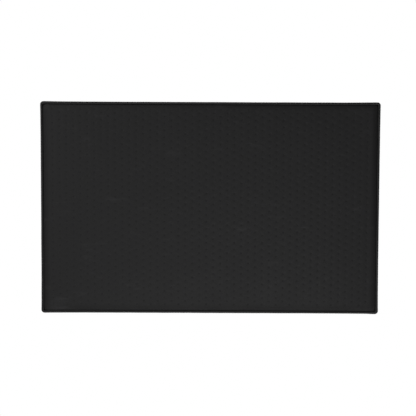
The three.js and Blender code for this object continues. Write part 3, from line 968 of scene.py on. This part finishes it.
# ---------------------------------------------------------------------------------------------------------
# Stitches: bonded black thread, about 4 mm to a stitch, in one row on the band beside the piping, where
# the machine closed the cover. The same tree repeats any small piece along a line.
def repeat_tree():
    """Copies of a piece along a line, each turned to follow it, to face out, and a little at random."""
    tree, given, keys = tree_group("repeat_along_line", {
        "Piece": "Object", "Material": "Material", "Count": "Int", "Random Turn": "Float", "Seed": "Int"})
    line = node(tree, "GeometryNodeMeshToCurve", {"Mesh": given["Geometry"]})
    spread = {"Curve": line.outputs[0], "Count": given["Count"]}
    places = node(tree, "GeometryNodeResampleCurve", spread, mode="COUNT")
    along = tree.nodes.new("GeometryNodeInputTangent")
    facing = node(tree, "GeometryNodeInputNamedAttribute", {"Name": "facing"}, data_type="FLOAT_VECTOR")
    headed = node(tree, "FunctionNodeAlignRotationToVector", {"Vector": along.outputs[0]}, axis="X")
    out = {"Rotation": headed.outputs[0], "Vector": facing.outputs[0]}
    stood = node(tree, "FunctionNodeAlignRotationToVector", out, axis="Z", pivot_axis="X")
    either_way = {"Min": (0.0, 0.0, -1.0), "Max": (0.0, 0.0, 1.0), "Seed": given["Seed"]}
    chance = node(tree, "FunctionNodeRandomValue", either_way, data_type="FLOAT_VECTOR")
    amount = {0: chance.outputs[0], "Scale": given["Random Turn"]}
    swing = node(tree, "ShaderNodeVectorMath", amount, operation="SCALE")
    turn = node(tree, "FunctionNodeEulerToRotation", {0: swing.outputs[0]})
    both = {"Rotation": stood.outputs[0], "Rotate By": turn.outputs[0]}
    rotation = node(tree, "FunctionNodeRotateRotation", both, rotation_space="LOCAL")
    piece = node(tree, "GeometryNodeObjectInfo", {"Object": given["Piece"], "As Instance": True})
    copies = node(tree, "GeometryNodeInstanceOnPoints", {
        "Points": places.outputs[0], "Instance": piece.outputs["Geometry"],
        "Rotation": rotation.outputs[0]})
    real = node(tree, "GeometryNodeRealizeInstances", {"Geometry": copies.outputs[0]})
    end_tree(tree, real.outputs[0], given["Material"])
    return tree, keys


def repeated(name, piece, line, facing, count, material, closed=True, turn=0.0, seed=1):
    """Copies of a piece along a line of points, facing one way or the way given at each point."""
    edges = [(i, i + 1) for i in range(len(line) - 1)] + ([(len(line) - 1, 0)] if closed else [])
    mesh = bpy.data.meshes.new("line")
    mesh.from_pydata([tuple(point) for point in line], edges, [])
    directions = np.array(np.broadcast_to(facing, (len(line), 3)), float)
    mesh.attributes.new("facing", "FLOAT_VECTOR", "POINT").data.foreach_set("vector", directions.ravel())
    host = bpy.data.objects.new("line", mesh)
    bpy.context.collection.objects.link(host)
    made = grown(name, host, repeat_group, repeat_keys, {
        "Piece": piece, "Material": material, "Count": count, "Random Turn": turn, "Seed": seed})
    bpy.data.objects.remove(piece)
    return plain_material(made, material)


def swept(name, spine, radii, sides, flat=1.0):
    """A thread or wire along points in the X and Z plane, as thick as each radius, with filled ends."""
    spine = np.array(spine, float)
    along = np.gradient(spine, axis=0)
    turns = 2 * math.pi * np.arange(sides)[:, None] / sides
    sideways = np.array((0, 1, 0))
    rings = []
    for place, ahead, radius in zip(spine, along, radii):
        up = np.array((-ahead[2], 0, ahead[0])) / np.linalg.norm(ahead)
        rings.append(place + radius * (np.cos(turns) * flat * up + np.sin(turns) * sideways))
    points, faces = lofted(rings, capped=True)
    return mesh_object(name, points, faces)


def thread():
    made, tree, shader, place = surface("bonded_thread")
    plies = {"Vector": place, "Scale": 900.0, "Distortion": 1.5}
    twist = node(tree, "ShaderNodeTexWave", plies, bands_direction="DIAGONAL").outputs["Fac"]
    tint = blended(tree, twist, (0.010, 0.010, 0.011, 1), (0.035, 0.035, 0.037, 1))
    shader.inputs["Sheen Weight"].default_value = 0.2
    dressed(tree, shader, tint, 0.45, twist, 0.05 * MM, 0.8)
    return made


repeat_group, repeat_keys = repeat_tree()
thread_finish = thread()
row_inset, row_y = half_x - band_high.x, band_low.y + 3.4 * MM
row = shaped(seam_ring(row_inset, row_y))
facing = outward_from(row_inset, row_y, form=shaped)
stitch_reach, stitch_rise, stitch_sink = 1.55 * MM, 0.34 * MM, 0.22 * MM
stitch_arch = [(x * stitch_reach, 0, stitch_rise * (1 - x ** 4) - stitch_sink)
               for x in np.linspace(-1, 1, 7)]
stitch_radii = [radius * MM for radius in (0.16, 0.27, 0.30, 0.31, 0.30, 0.27, 0.16)]
one_stitch = swept("stitch", stitch_arch, stitch_radii, 6)
seam_stitches = repeated("seam_stitches", one_stitch, row, facing, stitch_count, thread_finish)
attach(seam_stitches, "pad")


# ---------------------------------------------------------------------------------------------------------
# Lap seam: the side band's two ends overlap under the middle of the foot and are sewn down with two short
# rows of the same thread, each row running from the piping towards the wall.
def lap_line(offset, steps=24):
    """Points on the band from near the piping to near its back edge, at a distance from the middle."""
    depths = np.linspace(band_low.y + 7 * MM, band_high.y - 5 * MM, steps)
    points = np.array([(middle.x + offset, y, band_low.z) for y in depths])
    rise = lap_rise(points[:, 0] - middle.x)
    return shaped(points) - np.array((0, 0, 1)) * rise[:, None]


lap_stitch_count = 12
for number, offset in ((1, 4.2 * MM), (2, -1.8 * MM)):
    piece = swept("stitch", stitch_arch, stitch_radii, 6)
    lap_row = repeated(f"lap_stitches_{number}", piece, lap_line(offset), (0, 0, -1), lap_stitch_count,
                       thread_finish, closed=False)
    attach(lap_row, "pad")


# ---------------------------------------------------------------------------------------------------------
# Vents: two nickel-plated brass eyelets in each short side let the air out as the pad is struck. Each is
# pressed through the band and rolled over a washer behind it.
def nickel():
    made, tree, shader, place = surface("nickel_plate")
    haze = cloud(tree, place, 320, 4)
    wear = cloud(tree, place, 900, 3, 0.7)
    tint = blended(tree, haze, (0.62, 0.60, 0.56, 1), (0.50, 0.48, 0.44, 1))
    tint = blended(tree, ramp(tree, wear, 0, 0.6, 0.62, 0.75), tint, (0.20, 0.17, 0.12, 1))
    shader.inputs["Metallic"].default_value = 1.0
    dressed(tree, shader, tint, ramp(tree, haze, 0.16, 0.34), wear, 0.015 * MM, 0.4)
    return made


nickel_finish = nickel()
# The ring's section: radius, and height out of the band, in millimetres.
eyelet_profile = [(2.3, 0.35), (2.45, 0.78), (2.9, 1.0), (3.5, 0.98), (4.1, 0.80), (4.6, 0.50),
                  (4.95, 0.18), (5.0, 0.02), (2.95, -0.05), (2.9, -3.0), (2.3, -3.0)]
for side, sign in (("left", -1), ("right", 1)):
    for level in ("top", "bottom"):
        cad = f"vent_eyelet_{side}_{level}"
        on_band = np.array([(band_high.x if sign > 0 else band_low.x, centre_of(cad).y, centre_of(cad).z)])
        spot = Vector(shaped(on_band)[0])
        drill(side_band, spot, radius=3.0 * MM, axis=(1, 0, 0))
        profile = [(radius * MM, height * MM) for radius, height in eyelet_profile]
        eyelet = turned(f"vent_ring_{side}_{level}", profile, spot, (sign, 0, 0), nickel_finish,
                        closed=True, sides=48)
        in_place_of(cad, eyelet)
        finish_node(f"vent_washer_{side}_{level}", nickel_finish)


# ---------------------------------------------------------------------------------------------------------
# Dust cover: one rectangle of black spunbonded cloth, 459 by 278 mm, pulled flat over the back of the board
# to hide the turned-in vinyl and the plywood. Its cut edges are left raw.
def nonwoven():
    made, tree, shader, place = surface("spunbond_cloth")
    slanted = node(tree, "ShaderNodeMapping", {"Vector": place, "Rotation": (0, math.pi / 4, 0)})
    split = node(tree, "ShaderNodeSeparateXYZ", {0: slanted.outputs[0]})
    bond_pitch = 1.6 * MM
    dots = []
    for axis in ("X", "Z"):
        wave = sums(tree, "SINE", sums(tree, "MULTIPLY", split.outputs[axis], 2 * math.pi / bond_pitch))
        dots.append(ramp(tree, wave, 0, 1, 0.1, 0.7))
    bonds = sums(tree, "MULTIPLY", dots[0], dots[1])
    fibres = cloud(tree, stretched(tree, place, (300, 300, 1300)), 1.0, 6, 0.7)
    crossing = cloud(tree, stretched(tree, place, (1300, 300, 300)), 1.0, 6, 0.7)
    web = sums(tree, "MAXIMUM", fibres, crossing)
    web_share = ramp(tree, web, 0, 1, 0.45, 0.75)
    tint = blended(tree, web_share, (0.012, 0.012, 0.013, 1), (0.060, 0.060, 0.063, 1))
    tint = blended(tree, bonds, tint, (0.020, 0.020, 0.022, 1))
    shader.inputs["Sheen Weight"].default_value = 0.25
    relief = sums(tree, "MULTIPLY_ADD", bonds, -1.2, web)
    dressed(tree, shader, tint, ramp(tree, bonds, 0.85, 0.5), relief, 0.12 * MM, 0.8)
    return made


def cloth_height(x, z):
    """How far the cloth sinks towards the board: in the middle, but not at its edge or under the rail."""
    held_at_edge, held_at_rail = 16 * MM, 6 * MM
    from_edge = np.minimum(cloth_half_x - abs(x - middle.x), cloth_half_z - abs(z - middle.z))
    free = np.clip((from_edge - held_at_edge) / (30 * MM), 0, 1)
    beside_rail = abs(x - middle.x) - (hook_high.x - middle.x)
    from_rail = np.maximum(np.maximum(hook_low.z - z, z - hook_high.z), beside_rail)
    free = free * np.clip((from_rail - held_at_rail) / (25 * MM), 0, 1)
    long_folds = np.array([noise.noise(Vector((a * 9, 0, b * 26))) for a, b in zip(x, z)])
    short_folds = np.array([noise.noise(Vector((a * 40, 3, b * 55))) for a, b in zip(x, z)])
    return -free * (0.45 + 0.35 * (long_folds + 0.5 * short_folds)) * MM


def dust_cover_mesh(material):
    """Two layers of points, the cloth's back and front, joined round a slightly ragged cut edge."""
    across, up = 150, 92
    xs, zs = np.linspace(-cloth_half_x, cloth_half_x, across), np.linspace(-cloth_half_z, cloth_half_z, up)
    x, z = (values.ravel() for values in np.meshgrid(xs, zs))
    ragged = np.array([noise.noise(Vector((a * 70, 7, b * 70))) for a, b in zip(x, z)]) * 0.35 * MM
    on_side, on_end = abs(x) > cloth_half_x - 1e-6, abs(z) > cloth_half_z - 1e-6
    x = x + np.sign(x) * ragged * on_side + middle.x
    z = z + np.sign(z) * ragged * on_end + middle.z
    sink = cloth_height(x, z)
    back, front = cloth_high.y - 0.03 * MM, cloth_low.y
    points = np.concatenate([np.stack([x, back + sink, z], 1), np.stack([x, front + sink, z], 1)])
    count = across * up
    faces = []
    for layer in (0, count):
        for j in range(up - 1):
            for i in range(across - 1):
                a = layer + j * across + i
                faces.append((a, a + 1, a + across + 1, a + across))
    rim = [*range(across), *(j * across + across - 1 for j in range(1, up)),
           *range(count - 2, count - across - 1, -1), *(j * across for j in range(up - 2, 0, -1))]
    faces += [(a, b, b + count, a + count) for a, b in zip(rim, rim[1:] + rim[:1])]
    return mesh_object("dust_cloth", points, faces, material)


cloth_low, cloth_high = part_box("dust_cover")
cloth_half_x = (cloth_high.x - cloth_low.x) / 2 - 0.4 * MM
cloth_half_z = (cloth_high.z - cloth_low.z) / 2 - 0.4 * MM
dust_cloth = dust_cover_mesh(nonwoven())
in_place_of("dust_cover", dust_cloth)


# ---------------------------------------------------------------------------------------------------------
# Staples: 10 mm crowns of zinc-coated wire, fired through the dust cover and the vinyl into the board,
# about 34 mm apart and not quite in line, as they come from a hand gun.
staple_count, staple_inset, staple_sink = 42, 17 * MM, 0.1 * MM
wire_radius, bend_radius = 0.36 * MM, 0.7 * MM
staple_line = rounded_ring(staple_inset, cloth_high.y - staple_sink, corner=24 * MM)
staple_corners = [(-5 * MM, -3.2 * MM), (-5 * MM, 0.3 * MM), (5 * MM, 0.3 * MM), (5 * MM, -3.2 * MM)]
staple_wire = [(x, 0, z) for x, z in rounded_path(staple_corners, bend_radius)]
staple = swept("staple", staple_wire, [wire_radius] * len(staple_wire), 8, flat=0.8)
staples = repeated("staples", staple, staple_line, (0, 1, 0), staple_count, zinc_plate, turn=0.12, seed=7)
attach(staples, "pad")


# ---------------------------------------------------------------------------------------------------------
# Rail screws and bumper screws: zinc-plated pan heads with a cross recess. Four M5 screws hold the rail to
# the T-nuts, and a wood screw holds each bumper, its head sunk in the rubber.
def pan_head_screw(name, place, head, height, shank, tip, material):
    """A screw on the wall side, with its head's underside at the place and its tip towards the face."""
    dome = [(0.12, 1.0), (0.45, 0.985), (0.72, 0.93), (0.88, 0.80), (0.97, 0.58), (1.0, 0.32), (1.0, 0.08),
            (0.97, 0.0)]
    profile = [(share * head, level * height) for share, level in dome] + [(shank, -0.2 * MM)]
    pitch, thread_start = 0.8 * MM, 0.5 * MM
    for turn in range(int((tip - 1.5 * MM) / pitch)):
        crest = -thread_start - turn * pitch
        profile += [(shank, crest), (shank * 0.82, crest - pitch / 2)]
    profile += [(shank * 0.7, -tip + 0.6 * MM), (shank * 0.3, -tip)]
    screw = turned(name, profile, place, (0, 1, 0), material, sides=32)
    bottom = Vector(place) + Vector((0, 0.35 * height, 0))
    corners = ((-1, -1), (1, -1), (1, 1), (-1, 1))
    for reach_x, reach_z in ((0.52 * head, 0.11 * head), (0.11 * head, 0.52 * head)):
        rings = []
        for rise, flare in ((0, 0.55), (height, 1.0)):          # the recess is narrower at its bottom
            spots = [Vector((x * reach_x * flare, rise, z * reach_z * flare)) for x, z in corners]
            rings.append(np.array([bottom + spot for spot in spots]))
        points, faces = lofted(rings, capped=True)
        cut_by(screw, mesh_object("cross", points, faces, smooth=False))
    return plain_material(screw, material)


def screw_in(name, cad, head, shank):
    """A screw as long as its CAD box, with the top of its head on the box's back."""
    low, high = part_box(cad)
    height = 2.4 * MM
    place = (centre_of(cad).x, high.y - height, centre_of(cad).z)
    screw = pan_head_screw(name, place, head, height, shank, high.y - height - low.y, zinc_plate)
    in_place_of(cad, screw)


for number in (1, 2, 3, 4):
    screw_in(f"rail_screw_head_{number}", f"rail_screw_{number}", head=4.7 * MM, shank=2.45 * MM)
for side in ("left", "right"):
    screw_in(f"bumper_screw_head_{side}", f"bumper_screw_{side}", head=4.2 * MM, shank=2.0 * MM)


# ---------------------------------------------------------------------------------------------------------
# Bumpers: two moulded rubber feet, 22 mm across, that keep the pad's foot off the wall. Each has a
# counterbore for its screw, a draft angle from the mould and three grip rings on the face by the wall.
def rubber():
    made, tree, shader, place = surface("black_rubber")
    bloom = cloud(tree, place, 150, 4, 0.6)
    dust = cloud(tree, place, 1200, 3, 0.7)
    tint = blended(tree, bloom, (0.016, 0.016, 0.016, 1), (0.032, 0.032, 0.031, 1))
    tint = blended(tree, ramp(tree, dust, 0, 0.5, 0.6, 0.78), tint, (0.10, 0.10, 0.095, 1))
    dressed(tree, shader, tint, ramp(tree, bloom, 0.6, 0.8), dust, 0.06 * MM)
    return made


def bumper_profile(height):
    """A foot's section in millimetres: from its hole out along the board, up, and in over the rings."""
    sides = [(2.6, 0), (10.3, 0), (10.8, 0.15), (11.0, 0.6), (10.7, height - 0.9), (10.45, height - 0.3),
             (9.9, height)]
    for radius in (9.0, 7.8, 6.6):
        sides += [(radius + 0.25, height), (radius + 0.1, height - 0.35), (radius - 0.1, height - 0.35),
                  (radius - 0.25, height)]
    sides += [(5.3, height), (5.0, height - 0.15), (4.9, height - 0.5), (4.9, height - 3.2),
              (2.6, height - 3.2)]
    return [(radius * MM, level * MM) for radius, level in sides]


rubber_finish = rubber()
for side in ("left", "right"):
    cad = f"bumper_{side}"
    low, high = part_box(cad)
    on_board = (centre_of(cad).x, low.y, centre_of(cad).z)
    foot = turned(f"bumper_foot_{side}", bumper_profile((high.y - low.y) / MM), on_board, (0, 1, 0),
                  rubber_finish, closed=True, sides=64)
    in_place_of(cad, foot)
